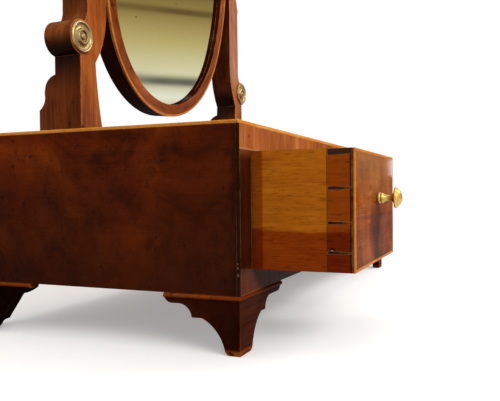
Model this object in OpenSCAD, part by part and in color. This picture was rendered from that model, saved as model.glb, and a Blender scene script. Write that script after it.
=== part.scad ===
// Table-top dressing mirror: an oval glass that swings between two scrolled uprights
// on a box with three small drawers and bracket feet.
// Millimetres. The front faces -Y, +Z is up. The origin is on the table, under the middle of the whole piece
// with its left drawer standing open.

/* [Box] */
// Width of the box
case_w = 456; // [420:1:540]
// Depth of the box
case_d = 212; // [190:1:260]
// Height of the box without its feet
case_h = 106; // [90:1:140]
// Thickness of the side boards
side_t = 9; // [7:0.5:12]
// Thickness of the back board
back_t = 8; // [6:0.5:12]
// Thickness of the top board
top_t = 9; // [7:0.5:11]
// Thickness of the bottom board that the drawers slide on
bottom_t = 8; // [5:0.5:12]
// Thickness of the face veneers
veneer_t = 1.2; // [0.8:0.1:1.5]
// Height of the rail above the drawers, with the top board
upper_rail_h = 17.6; // [15:0.2:22]
// Height of the rail below the drawers
lower_rail_h = 13.9; // [12.5:0.1:20]
// Depth of both rails, front to back
rail_d = 20; // [14:1:30]
// Width of the front between a side of the box and the nearest drawer
stile_w = 19.4; // [14:0.2:28]
// Width of the dividers between the drawers
divider_w = 13.3; // [8:0.1:20]
// Width of the light line along the top edges
string_w = 2.2; // [1.8:0.1:3]
// Width of the dark line down each front corner
corner_w = 1.6; // [1.4:0.1:2]

/* [Feet] */
// Height of the feet with their beads
foot_h = 36; // [30:1:50]
// Thickness of the brackets
bracket_t = 8; // [6:0.5:12]
// Height of the bead over each foot
bead_h = 3; // [2:0.2:5]
// Width of a front foot where it stands, seen from the front
front_toe_w = 19.5; // [12:0.5:24]
// Width of a front foot where it stands, seen from the side
side_toe_w = 10.6; // [8:0.2:14]
// Height of the worn round at the inner corner of a front foot's toe
toe_round = 4; // [1:0.5:5]
// Width of a back foot where it stands
back_toe_w = 20; // [14:1:26]
// Length of a front bracket along the front
front_bracket_l = 71; // [66:1:90]
// Length of a front foot's bracket along the side
side_bracket_l = 52; // [48:1:64]
// Length of the plain brackets of the back feet
back_bracket_l = 53; // [48:1:70]

/* [Drawers] */
// Gap around a drawer in its opening
slide_gap = 0.35; // [0.3:0.05:0.8]
// How far the left drawer stands open
left_open = 65.5; // [0:0.5:120]
// Thickness of a drawer front
front_t = 17; // [14:0.5:20]
// Wood left in front of the dovetails
lap_t = 2.4; // [2:0.1:4]
// Thickness of a drawer's side
drawer_side_t = 7; // [6:0.5:9]
// Thickness of a drawer's back
drawer_back_t = 7; // [5:0.5:9]
// Thickness of a drawer's bottom
panel_t = 4; // [3:0.5:5]
// Height of the bottom above the lower edge of the drawer
panel_lift = 5; // [4.5:0.5:8]
// Depth of the groove that holds the bottom
groove_d = 3; // [2:0.5:4]
// Space left behind a closed drawer
back_room = 5; // [2:1:20]
// Width of the light line around a drawer front
face_line_w = 1.8; // [1:0.1:2.2]
// Distance of the knob below the top edge of the drawer front
knob_drop = 30.4; // [20:0.2:45]
// Widest radius of the knob
knob_r = 7.2; // [5:0.2:9]
// How far the knob stands out
knob_l = 17; // [13:0.5:22]
// Radius of the knob's screw shank
shank_r = 2; // [1.5:0.1:2.5]

/* [Uprights] */
// Thickness of an upright's shaft, front to back
shaft_d = 25.5; // [20:0.5:32]
// Width of the shaft seen from the front
shaft_w = 24.2; // [18:0.2:30]
// Depth of the stepped base
base_d = 42; // [38:0.5:52]
// Width of the base where it meets the box
base_w = 30.4; // [26:0.2:36]
// Width of the neck above the base
neck_w = 19.5; // [16:0.5:24]
// Height of the neck's narrowest place above the box
neck_h = 64; // [58:1:66]
// Distance from the back of the box to the uprights
upright_inset = 4; // [0:0.5:20]
// Radius of the roundel on an upright
roundel_r = 14; // [11:0.5:17]
// Height of the roundel's centre above the box
roundel_h = 81.6; // [76:0.2:90]
// How far the roundel's centre lies outside the shaft
roundel_out = 9; // [7:0.5:12]
// Height at which the shaft becomes straight
bend_h = 112; // [106:1:125]
// Height of the uprights above the pivot
horn_h = 26; // [20:1:40]
// Thickness of the brass roundel plate
patera_t = 3; // [3:0.2:5]

/* [Mirror] */
// Width of the oval frame
mirror_w = 242; // [238:1:260]
// Height of the oval frame
mirror_h = 302; // [280:1:320]
// Radius of the frame's outline at its top and bottom, as a share of half its width
end_share = 0.95; // [0.8:0.01:0.97]
// Clear height between the box and the frame when it hangs straight
mirror_lift = 37; // [30:1:60]
// Depth of the frame, front to back
frame_t = 20; // [16:0.5:24]
// Width of the frame's face
frame_w = 12.5; // [11:0.5:16]
// Thickness of the lip in front of the glass
lip_t = 5; // [4:0.5:7]
// Thickness of the frame outside the glass
wall_t = 6.5; // [5.5:0.5:8]
// Width of the light line around the frame
frame_line_w = 2; // [1:0.1:3]
// Thickness of the glass
glass_t = 3; // [2:0.5:4]
// Thickness of the backboard
backboard_t = 5; // [3:0.5:6]
// How far the backboard lies inside the back of the frame
backboard_inset = 2; // [1.6:0.2:3]
// Lean of the mirror at rest, top to the front, in degrees
rest_tilt = 5; // [0:0.5:15]
// Gap between the frame and the uprights at the pivots
pivot_gap = 5.5; // [4:0.5:8]
// Radius of the pivot screws
pivot_r = 3; // [2:0.2:4]

/* [Hidden] */
$fn = 48;

// How far a cutting shape runs past what it cuts
over = 1;
// Clearance of a glued or slid-in piece in its groove
fit = 0.1;
// Radial clearance of a screw or pin that turns in a hole
turn_fit = 0.05;
// Gap between pieces that move past each other
move_gap = 0.3;

side_x = case_w / 2;
centre_y = (left_open + knob_l - bead_h / 2) / 2;
front_y = centre_y - case_d / 2;
back_y = centre_y + case_d / 2;
face_y = front_y + veneer_t;
top_z = foot_h + case_h;
under_top_z = top_z - veneer_t - top_t;
open_z0 = foot_h + lower_rail_h;
open_z1 = top_z - upper_rail_h;
open_w = (case_w - 2 * stile_w - 2 * divider_w) / 3;
drawer_pitch = open_w + divider_w;

drawer_w = open_w - 2 * slide_gap;
drawer_h = open_z1 - open_z0 - 2 * slide_gap;
drawer_l = case_d - back_t - back_room;
inner_x = drawer_w / 2 - drawer_side_t;
panel_top = panel_lift + panel_t;
// Height of the drawer's back below the sides
back_drop = 2;
// Dovetail pins at the front: place down from the top edge, as a share of the height, and width at the tip
front_pins = [[0, 7.4], [0.32, 1.1], [0.6, 1.1], [0.84, 1.1]];
// Dovetail pins at the back
rear_pins = [[0, 9], [0.4, 2.2], [0.72, 2.2]];
// How much wider each half of a pin is at its root
pin_flare = 0.75;
stop_w = 20;
stop_l = 10;
stop_h = 3;
nut_r = 4.5;
nut_t = 3.5;

upright_front = back_y - upright_inset - base_d;
pivot_h = mirror_lift + mirror_h / 2;
pivot_z = top_z + pivot_h;
pivot_y = upright_front + shaft_d / 2;
shaft_in = mirror_w / 2 + pivot_gap;
shaft_out = shaft_in + shaft_w;
roundel_x = shaft_out + roundel_out;
roundel_z = top_z + roundel_h;
neck_out = roundel_x + 1.7;
neck_in = neck_out - neck_w;
base_in = neck_out - base_w;
screw_r = 2.1;
screw_head_r = 4.4;
screw_head_h = 2.6;
screw_bite = 26;
screw_x = (base_in + neck_out) / 2;
screw_y = upright_front + base_d / 2;

half_w = mirror_w / 2;
half_h = mirror_h / 2;
end_r = end_share * half_w;
end_c = half_h - end_r;
side_r = (half_w * half_w + half_h * half_h - 2 * half_h * end_r) / (2 * (half_w - end_r));
side_c = side_r - half_w;
frame_front = frame_t / 2;
glass_front = frame_front - lip_t;
backboard_back = backboard_inset - frame_t / 2;
plate_t = 1.5;
plate_sink = 0.4;
plate_l = 26;
plate_w = 11;
brad_r = 0.6;
brad_l = 11;
brad_count = 10;
block_count = 8;

// A box between two opposite corners.
module block(low, high) {
    translate(low)
    cube(high - low);
}

// Keeps what is drawn for the right and adds its mirror image on the left.
module both_sides() {
    children();
    mirror([1, 0, 0]) children();
}

// Extrudes a shape drawn in the plane of depth and height along the width.
module across(thickness) {
    rotate([90, 0, 90])
    linear_extrude(thickness) children();
}

// Extrudes a shape drawn in the plane of width and height towards the front.
module forward(thickness) {
    rotate([90, 0, 0])
    linear_extrude(thickness) children();
}

// Points of a circular arc from p towards q, standing out by rise to the left of that line.
// The last point is left for what follows.
function bow(p, q, rise, n = 8) =
    let (
        chord = norm(q - p),
        along = (q - p) / chord,
        left = [-along[1], along[0]],
        radius = (chord * chord / 4 + rise * rise) / (2 * rise),
        half = 2 * atan2(rise, chord / 2),
        centre = (p + q) / 2 + left * (rise - radius)
    )
    [for (i = [0:n - 1]) let (a = half * (1 - 2 * i / n)) centre + radius * (left * cos(a) - along * sin(a))];

// The light line around the top edges: along the front and both sides.
module edge_line_solid(grow = 0) {
    low_z = top_z - string_w;
    high_z = top_z + grow;
    block([-side_x - grow, front_y - grow, low_z], [side_x + grow, front_y + string_w, high_z]);
    both_sides()
    block([side_x - string_w, front_y, low_z], [side_x + grow, back_y + grow, high_z]);
}

// The dark line down a front corner, on the right.
module corner_line_solid(grow = 0) {
    block(
        [side_x - corner_w, front_y - grow, foot_h - grow],
        [side_x + grow, front_y + corner_w, top_z - string_w]
    );
}

module side_board() {
    color("#5a200c")
    difference() {
        block([side_x - side_t, face_y, foot_h], [side_x, back_y, top_z - veneer_t]);
        edge_line_solid(over);
        corner_line_solid(over);
    }
}

module back_board() {
    color("#8a6238")
    block([side_t - side_x, back_y - back_t, foot_h], [side_x - side_t, back_y, top_z - veneer_t]);
}

module top_board() {
    color("#8a6238")
    difference() {
        block([side_t - side_x, face_y, under_top_z], [side_x - side_t, back_y - back_t, top_z - veneer_t]);
        edge_line_solid(over);
        both_sides() upright_screw_hole();
    }
}

module bottom_board() {
    color("#9a7444")
    block(
        [side_t - side_x, face_y + rail_d, open_z0 - bottom_t],
        [side_x - side_t, back_y - back_t, open_z0]
    );
}

// A board that stands between two drawers, or beside one, and is notched round the top rail.
module partition(x0, x1) {
    block([x0, face_y, open_z0], [x1, back_y - back_t, open_z1]);
    block([x0, face_y + rail_d, open_z0], [x1, back_y - back_t, under_top_z]);
}

module drawer_dividers() {
    color("#7a3a1c")
    both_sides()
    partition(open_w / 2, open_w / 2 + divider_w);
}

module drawer_guides() {
    color("#7a3a1c")
    both_sides()
    partition(side_x - stile_w, side_x - side_t);
}

module top_rail() {
    color("#7a3a1c")
    block([side_t - side_x, face_y, open_z1], [side_x - side_t, face_y + rail_d, under_top_z]);
}

module bottom_rail() {
    color("#7a3a1c")
    block([side_t - side_x, face_y, foot_h], [side_x - side_t, face_y + rail_d, open_z0]);
}

module front_veneer() {
    color("#8c4322")
    difference() {
        block([corner_w - side_x, front_y, foot_h], [side_x - corner_w, face_y, top_z - string_w]);
        for (i = [-1:1])
            block(
                [i * drawer_pitch - open_w / 2, front_y - over, open_z0],
                [i * drawer_pitch + open_w / 2, face_y + over, open_z1]
            );
    }
}

module top_veneer() {
    color("#6b2a12")
    difference() {
        block([string_w - side_x, front_y + string_w, top_z - veneer_t], [side_x - string_w, back_y, top_z]);
        both_sides() upright_screw_hole();
    }
}

module top_edge_line() {
    color("#c8823a")
    edge_line_solid();
}

module corner_lines() {
    color("#1c0d07")
    both_sides() corner_line_solid();
}

// Small blocks on the bottom rail that a closing drawer front meets.
module drawer_stops() {
    color("#9a7444")
    for (i = [-1:1], s = [-1, 1])
        translate([i * drawer_pitch + s * open_w / 4 - stop_w / 2, front_y + front_t + move_gap, open_z0])
        cube([stop_w, stop_l, stop_h]);
}

// Heights of the two flats under a shaped bracket, as shares of the height below the bead
function cove_z() = 0.65 * (foot_h - bead_h);
function step_z() = 0.9 * (foot_h - bead_h);

// Outline of a shaped bracket: upright toe, hollow, flat, step and long tail.
module shaped_bracket(toe, length) {
    flat_s = toe + 0.21 * front_bracket_l;
    step_s = toe + 0.31 * front_bracket_l;
    tail_s = toe + 0.43 * front_bracket_l;
    polygon(concat(
        [[0, 0]],
        bow([toe - 0.8 * toe_round, 0], [toe, toe_round], -0.8, 5),
        bow([toe, toe_round], [flat_s, cove_z()], 2.6),
        [[flat_s, cove_z()]],
        bow([step_s, cove_z()], [tail_s, step_z()], 2.2, 6),
        [[tail_s, step_z()]],
        bow([length - 5, step_z()], [length, foot_h - bead_h], -0.8, 4),
        [[length, foot_h - bead_h], [0, foot_h - bead_h]]
    ));
}

// Outline of a plain back bracket: toe, small hollow and a straight slope.
module plain_bracket(toe, length) {
    high = foot_h - bead_h;
    polygon(concat(
        [[0, 0]],
        bow([toe - 2.5 * toe_round, 0], [toe, 1.5 * toe_round], -1.7, 6),
        bow([toe, 1.5 * toe_round], [toe + 0.24 * high, 0.27 * high], 0.7, 4),
        bow([length - 0.4 * high, 0.83 * high], [length, high], -0.8, 5),
        [[length, foot_h - bead_h], [0, foot_h - bead_h]]
    ));
}

// The pair of shaped brackets under the right front corner.
module front_foot() {
    color("#4a1c0e") {
        translate([side_x - bracket_t, front_y, 0])
        across(bracket_t) shaped_bracket(side_toe_w, side_bracket_l);
        translate([side_x, front_y + bracket_t, 0])
        mirror([1, 0, 0])
        forward(bracket_t) shaped_bracket(front_toe_w, front_bracket_l);
    }
}

// The pair of plain brackets under the right back corner.
module back_foot() {
    color("#4a1c0e") {
        translate([side_x - bracket_t, back_y, 0])
        across(bracket_t) mirror([1, 0]) plain_bracket(back_toe_w, back_bracket_l);
        translate([side_x, back_y, 0])
        mirror([1, 0, 0])
        forward(bracket_t) plain_bracket(back_toe_w, back_bracket_l);
    }
}

// One run of half-round bead along X, from the corner at the origin, with its flat back inside.
module bead_run(length) {
    r = bead_h / 2;
    translate([0, 0, -bead_h]) cube([length, bracket_t, bead_h]);
    translate([0, 0, -r]) rotate([0, 90, 0]) cylinder(h = length, r = r);
}

// The bead round a corner: one run along the front and one along the side.
module corner_bead(front_l, side_l) {
    bead_run(front_l);
    mirror([1, -1, 0]) bead_run(side_l);
    translate([0, 0, -bead_h / 2]) sphere(r = bead_h / 2);
}

module foot_beads() {
    color("#96411c")
    both_sides() {
        translate([-side_x, front_y, foot_h]) corner_bead(front_bracket_l, side_bracket_l);
        translate([-side_x, back_y, foot_h])
        mirror([0, 1, 0]) corner_bead(back_bracket_l, back_bracket_l);
    }
}

// Glue blocks in the corner behind each pair of brackets.
module glue_blocks() {
    size = 16;
    color("#9a7444")
    both_sides()
    for (y = [front_y + bracket_t, back_y - bracket_t - size])
        block([side_x - bracket_t - size, y, cove_z() + 1], [side_x - bracket_t, y + size, foot_h]);
}

// Front view of the right upright: base, neck, scroll and horn.
module upright_front_view() {
    straight_top = pivot_h - 10;
    tip = [shaft_in + 3.5, pivot_h + horn_h];
    polygon(concat(
        [[base_in, 0], [neck_out, 0], [neck_out, roundel_h]],
        bow([roundel_x - 3, roundel_h + roundel_r - 2], [shaft_out, roundel_h + roundel_r + 12], 1.2, 5),
        bow([shaft_out, straight_top], tip, -6.5, 10),
        bow(tip, [shaft_in, tip[1] - 8], -0.9, 4),
        [[shaft_in, tip[1] - 8]],
        bow([shaft_in, bend_h], [neck_in, neck_h], -4.3, 12),
        bow([neck_in, neck_h], [base_in, 0], 1.5, 8)
    ));
}

// Side view of an upright: straight in front, with a stepped scroll behind the base.
module upright_side_view() {
    back = base_d;
    shelf = 0.86 * base_d;
    plinth = 0.39 * neck_h;
    step_low = 0.56 * neck_h;
    step_high = 0.66 * neck_h;
    shaft_low = 0.833 * neck_h;
    high = pivot_h + horn_h + over;
    polygon(concat(
        [[0, 0]],
        [[back, 0]],
        bow([back, plinth], [shelf, step_low], 1.6, 5),
        bow([shelf, step_low], [shelf, step_high], -0.4, 3),
        bow([shelf, step_high], [shaft_d, shaft_low], -2.6, 6),
        [[shaft_d, shaft_low], [shaft_d, high], [0, high]]
    ));
}

// A vertical screw hole under the right upright, with a sunk head.
module upright_screw_hole() {
    translate([screw_x, screw_y, under_top_z - over])
    cylinder(h = top_t + screw_bite + over, r = screw_r + turn_fit);
    translate([screw_x, screw_y, under_top_z - over])
    cylinder(h = screw_head_h + over, r = screw_head_r + turn_fit);
}

module upright() {
    color("#8c4420")
    difference() {
        union() {
            intersection() {
                translate([0, upright_front + base_d, top_z])
                forward(base_d) upright_front_view();
                translate([base_in - 20, upright_front, top_z])
                across(3 * base_w) upright_side_view();
            }
            translate([roundel_x, upright_front + shaft_d, roundel_z])
            rotate([90, 0, 0])
            cylinder(h = shaft_d, r = roundel_r);
        }
        translate([shaft_in - over, pivot_y, pivot_z])
        rotate([0, 90, 0])
        cylinder(h = shaft_w + 2 * over, r = pivot_r + turn_fit);
        translate([roundel_x, upright_front + patera_pin_l, roundel_z])
        rotate([90, 0, 0])
        cylinder(h = patera_pin_l + over, r = patera_pin_r + turn_fit);
        upright_screw_hole();
    }
}

patera_pin_r = 1.5;
patera_pin_l = 7;

// Turned brass plate on the front of the roundel: rim, hollow, inner ring and boss, with a pin behind.
module roundel_plate() {
    r = roundel_r - 1.1;
    t = patera_t;
    color("#c9a86a")
    translate([roundel_x, upright_front, roundel_z])
    rotate([90, 0, 0])
    rotate_extrude()
    polygon(concat(
        [[0, -patera_pin_l + 0.5], [patera_pin_r, -patera_pin_l + 0.5], [patera_pin_r, 0], [r, 0], [r, 1]],
        bow([r, 1], [r - 2.4, 1.4], -0.9, 5),
        bow([r - 2.4, 1.3], [6.6, 1.1], 0.8, 6),
        bow([6.4, 2], [4.2, 2], -0.9, 5),
        [[4.2, 1.5], [2.6, 1.5]],
        bow([2.6, 1.9], [0, t], -0.6, 5),
        [[0, t]]
    ));
}

module upright_screws() {
    color("#8a8a86")
    both_sides()
    translate([screw_x, screw_y, under_top_z]) {
        cylinder(h = screw_head_h, r1 = screw_head_r, r2 = screw_r);
        cylinder(h = top_t + screw_bite - over, r = screw_r);
    }
}

// Brass collars between the uprights and the frame.
module pivot_collars() {
    color("#b98d4a")
    both_sides()
    translate([half_w + move_gap, pivot_y, pivot_z])
    rotate([0, 90, 0])
    difference() {
        cylinder(h = pivot_gap - move_gap, r = 2.1 * pivot_r);
        translate([0, 0, -over]) cylinder(h = pivot_gap + 2 * over, r = pivot_r + turn_fit);
    }
}

// Thumb screw through the right upright: shank, flange, neck and turned knob.
module pivot_screw() {
    start = half_w - wall_t + move_gap;
    out = shaft_out + move_gap - start;
    r = pivot_r;
    color("#b98d4a")
    translate([start, pivot_y, pivot_z])
    rotate([0, 90, 0])
    rotate_extrude()
    polygon(concat(
        [[0, 0], [0.83 * r, 0], [r, 0.27 * r], [r, out], [2 * r, out], [2 * r, out + 0.47 * r]],
        bow([1.5 * r, out + 0.67 * r], [1.1 * r, out + 1.67 * r], 0.13 * r, 4),
        bow([1.1 * r, out + 1.67 * r], [1.6 * r, out + 4.33 * r], -1.67 * r, 10),
        bow([1.6 * r, out + 4.5 * r], [0, out + 5.67 * r], -0.47 * r, 6),
        [[0, out + 5.67 * r]]
    ));
}

// An oval built from four arcs, smaller all round by inset.
module oval(inset) {
    lean = atan2(end_c, side_c);
    band = end_c + (end_r - inset) * sin(lean);
    for (s = [-1, 1])
        translate([0, s * end_c]) circle(r = end_r - inset, $fn = 128);
    intersection() {
        translate([-side_c, 0]) circle(r = side_r - inset, $fn = 256);
        translate([side_c, 0]) circle(r = side_r - inset, $fn = 256);
        square([2 * half_w, 2 * band], center = true);
    }
}

// A flat oval plate whose front lies at depth d in the frame.
module oval_plate(inset, front, thickness) {
    translate([0, 0, front - thickness])
    linear_extrude(thickness) oval(inset);
}

// Places a piece drawn flat, front up, in the hanging frame at its rest lean.
module hung() {
    translate([0, pivot_y, pivot_z])
    rotate([90 + rest_tilt, 0, 0])
    children();
}

// Points the children along the line from the frame's middle at each of n places round the oval.
module round_oval(n, shift = 0.5) {
    for (i = [0:n - 1])
        rotate([0, 0, 360 * (i + shift) / n])
        children();
}

// Distance from the middle to the oval's edge in a direction, with the oval smaller by inset.
function reach(a, inset) =
    let (
        lean = atan2(end_c, side_c),
        corner = [(end_r - inset) * cos(lean), end_c + (end_r - inset) * sin(lean)],
        turn = atan2(corner[1], corner[0]),
        folded = abs(((a + 90) % 180) - 90),
        on_end = folded > turn,
        c = on_end ? [0, end_c] : [-side_c, 0],
        r = (on_end ? end_r : side_r) - inset,
        along = c[0] * cos(folded) + c[1] * sin(folded)
    )
    along + sqrt(along * along - c[0] * c[0] - c[1] * c[1] + r * r);

module pivot_plate_solid(grow = 0) {
    block(
        [half_w - plate_sink - plate_t, -plate_l / 2, -plate_w / 2],
        [half_w - plate_sink + grow, plate_l / 2, plate_w / 2]
    );
}

module mirror_frame() {
    color("#5c2410")
    hung()
    difference() {
        oval_plate(0, frame_front, frame_t);
        oval_plate(frame_w, frame_front + over, frame_t + 2 * over);
        oval_plate(wall_t, glass_front, frame_t);
        difference() {
            oval_plate(-over, frame_front + over, frame_line_w + over);
            oval_plate(frame_line_w, frame_front + 2 * over, frame_line_w + 3 * over);
        }
        both_sides() pivot_plate_solid(2 * over);
        rotate([0, 90, 0])
        cylinder(h = mirror_w, r = pivot_r + turn_fit, center = true);
        backboard_pin_set(turn_fit);
    }
}

module frame_line() {
    color("#c8823a")
    hung()
    difference() {
        oval_plate(0, frame_front, frame_line_w);
        oval_plate(frame_line_w, frame_front + over, frame_line_w + 2 * over);
    }
}

module mirror_glass() {
    color("#c4c9b4")
    hung()
    oval_plate(wall_t + move_gap, glass_front, glass_t);
}

module backboard() {
    color("#8a6238")
    hung()
    oval_plate(wall_t + move_gap, backboard_back + backboard_t, backboard_t);
}

// Blocks glued to the wall of the frame, which hold the glass against the lip.
module glazing_blocks() {
    front = glass_front - glass_t;
    depth = front - backboard_back - backboard_t;
    color("#9a7444")
    hung()
    intersection() {
        difference() {
            oval_plate(wall_t, front, depth);
            oval_plate(frame_w + 1.5, front + over, depth + 2 * over);
        }
        round_oval(block_count)
        translate([0, -9, front - depth])
        cube([mirror_h, 18, depth]);
    }
}

// Headless pins driven into the frame's wall behind the backboard.
module backboard_pin_set(grow = 0) {
    bite = 4;
    for (i = [0:brad_count - 1]) {
        a = 360 * (i + 0.5) / brad_count;
        rotate([0, 0, a])
        translate([reach(a, wall_t) - brad_l + bite, 0, backboard_back - brad_r - turn_fit])
        rotate([0, 90, 0])
        cylinder(h = brad_l + grow, r = brad_r + grow, $fn = 24);
    }
}

module backboard_pins() {
    color("#6e6a64")
    hung() backboard_pin_set();
}

module pivot_plates() {
    color("#b98d4a")
    hung()
    difference() {
        both_sides() pivot_plate_solid();
        rotate([0, 90, 0])
        cylinder(h = mirror_w + 2 * over, r = pivot_r + turn_fit, center = true);
    }
}

// Places a piece drawn at the lower middle of a drawer's face: i is -1, 0 or 1 from left to right.
module in_drawer(i) {
    translate([i * drawer_pitch, front_y - (i < 0 ? left_open : 0), open_z0 + slide_gap])
    children();
}

// Row of dovetails, drawn from their root at 0 to their tip at length, and past the tip by beyond.
module tails(length, height, pins, beyond = 0) {
    end = length + beyond + over;
    difference() {
        square([length + beyond, height]);
        for (pin = pins) {
            root = pin[1] / 2 + pin_flare * (1 + over / length);
            tip = pin[1] / 2 - pin_flare * (beyond + over) / length;
            translate([0, height * (1 - pin[0])])
            polygon([[-over, -root], [end, -tip], [end, tip], [-over, root]]);
        }
    }
}

// Dovetails at the front of a drawer's right side, out to its outer face.
module front_tails(grow = 0) {
    translate([inner_x, front_t, 0])
    across(drawer_side_t + grow) mirror([1, 0]) tails(front_t - lap_t, drawer_h, front_pins);
}

// Dovetails at the back of a drawer's right side.
module rear_tails(grow = 0) {
    translate([inner_x, drawer_l - drawer_back_t, 0])
    across(drawer_side_t + grow) tails(drawer_back_t, drawer_h, rear_pins, grow);
}

// The light line around a drawer's face.
module face_line_solid(grow = 0) {
    w = face_line_w;
    difference() {
        block([-drawer_w / 2 - grow, -grow, -grow], [drawer_w / 2 + grow, w, drawer_h + grow]);
        block([w - drawer_w / 2, -over - grow, w], [drawer_w / 2 - w, w + over, drawer_h - w]);
    }
}

module drawer_front() {
    color("#8c4322")
    difference() {
        block([-drawer_w / 2, 0, 0], [drawer_w / 2, front_t, drawer_h]);
        face_line_solid(over);
        both_sides() front_tails(over);
        block([-inner_x, front_t - groove_d, panel_lift], [inner_x, front_t + over, panel_top + fit]);
        translate([0, -over, drawer_h - knob_drop])
        rotate([-90, 0, 0])
        cylinder(h = front_t + 2 * over, r = shank_r + turn_fit);
    }
}

module drawer_line() {
    color("#d7823c")
    face_line_solid();
}

// Right side of a drawer, with dovetails at both ends and a groove for the bottom.
module drawer_side() {
    color("#9b5c16")
    difference() {
        union() {
            block([inner_x, front_t, 0], [drawer_w / 2, drawer_l - drawer_back_t, drawer_h]);
            front_tails();
            rear_tails();
        }
        block([inner_x - over, front_t, panel_lift], [inner_x + groove_d, drawer_l + over, panel_top + fit]);
    }
}

module drawer_back() {
    color("#9b5c16")
    difference() {
        block([-drawer_w / 2, drawer_l - drawer_back_t, panel_top + fit],
            [drawer_w / 2, drawer_l, drawer_h - back_drop]);
        both_sides() rear_tails(over);
    }
}

module drawer_bottom() {
    wide = inner_x + groove_d - fit;
    color("#a8763a") {
        block([-wide, front_t, panel_lift], [wide, drawer_l, panel_top]);
        block([fit - inner_x, front_t - groove_d + fit, panel_lift], [inner_x - fit, front_t, panel_top]);
    }
}

// Turned brass knob: ringed foot, waisted stem, flat disc with a domed face, and a screw shank behind.
module drawer_knob() {
    shank_l = front_t + nut_t + 2;
    foot_r = 0.52 * knob_r;
    waist_r = 0.3 * knob_r;
    rim = knob_l - 4.2;
    color("#be963c")
    translate([0, 0, drawer_h - knob_drop])
    rotate([90, 0, 0])
    rotate_extrude()
    polygon(concat(
        [[0, -shank_l], [shank_r, -shank_l], [shank_r, 0], [foot_r - 0.3, 0]],
        bow([foot_r - 0.3, 0.3], [foot_r - 0.3, 2.7], -0.4, 5),
        [[foot_r - 0.3, 2.7], [foot_r - 0.9, 3], [foot_r - 0.9, 3.5]],
        bow([foot_r - 0.2, 3.8], [waist_r, rim - 3], 0.7, 6),
        bow([waist_r, rim - 3], [knob_r - 1, rim - 0.9], 0.8, 5),
        bow([knob_r - 0.5, rim - 0.8], [knob_r - 0.4, rim + 0.8], -0.4, 4),
        [[knob_r - 0.4, rim + 0.8], [knob_r - 0.9, rim + 1]],
        bow([knob_r - 1.1, rim + 1.2], [0, knob_l], -0.9, 8),
        [[0, knob_l]]
    ));
}

module drawer_nut() {
    color("#b98d4a")
    translate([0, front_t, drawer_h - knob_drop])
    rotate([-90, 0, 0])
    difference() {
        cylinder(h = nut_t, r = nut_r, $fn = 6);
        translate([0, 0, -over]) cylinder(h = nut_t + 2 * over, r = shank_r + turn_fit / 2);
    }
}

mirror([1, 0, 0]) side_board();  // side_board_left
side_board();  // side_board_right
back_board();
top_board();
bottom_board();
drawer_dividers();
drawer_guides();
top_rail();
bottom_rail();
front_veneer();
top_veneer();
top_edge_line();
corner_lines();
drawer_stops();
mirror([1, 0, 0]) front_foot();  // foot_front_left
front_foot();  // foot_front_right
mirror([1, 0, 0]) back_foot();  // foot_back_left
back_foot();  // foot_back_right
foot_beads();
glue_blocks();
mirror([1, 0, 0]) upright();  // upright_left
upright();  // upright_right
mirror([1, 0, 0]) roundel_plate();  // roundel_plate_left
roundel_plate();  // roundel_plate_right
upright_screws();
pivot_collars();
mirror([1, 0, 0]) pivot_screw();  // pivot_screw_left
pivot_screw();  // pivot_screw_right
mirror_frame();
frame_line();
mirror_glass();
backboard();
glazing_blocks();
backboard_pins();
pivot_plates();
in_drawer(-1) drawer_front();  // drawer_front_left
in_drawer(-1) drawer_line();  // drawer_line_left
in_drawer(-1) mirror([1, 0, 0]) drawer_side();  // drawer_side_a_left
in_drawer(-1) drawer_side();  // drawer_side_b_left
in_drawer(-1) drawer_back();  // drawer_back_left
in_drawer(-1) drawer_bottom();  // drawer_bottom_left
in_drawer(-1) drawer_knob();  // drawer_knob_left
in_drawer(-1) drawer_nut();  // drawer_nut_left
in_drawer(0) drawer_front();  // drawer_front_middle
in_drawer(0) drawer_line();  // drawer_line_middle
in_drawer(0) mirror([1, 0, 0]) drawer_side();  // drawer_side_a_middle
in_drawer(0) drawer_side();  // drawer_side_b_middle
in_drawer(0) drawer_back();  // drawer_back_middle
in_drawer(0) drawer_bottom();  // drawer_bottom_middle
in_drawer(0) drawer_knob();  // drawer_knob_middle
in_drawer(0) drawer_nut();  // drawer_nut_middle
in_drawer(1) drawer_front();  // drawer_front_right
in_drawer(1) drawer_line();  // drawer_line_right
in_drawer(1) mirror([1, 0, 0]) drawer_side();  // drawer_side_a_right
in_drawer(1) drawer_side();  // drawer_side_b_right
in_drawer(1) drawer_back();  // drawer_back_right
in_drawer(1) drawer_bottom();  // drawer_bottom_right
in_drawer(1) drawer_knob();  // drawer_knob_right
in_drawer(1) drawer_nut();  // drawer_nut_right
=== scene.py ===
import math

import bpy
from mathutils import Matrix, Vector


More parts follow.
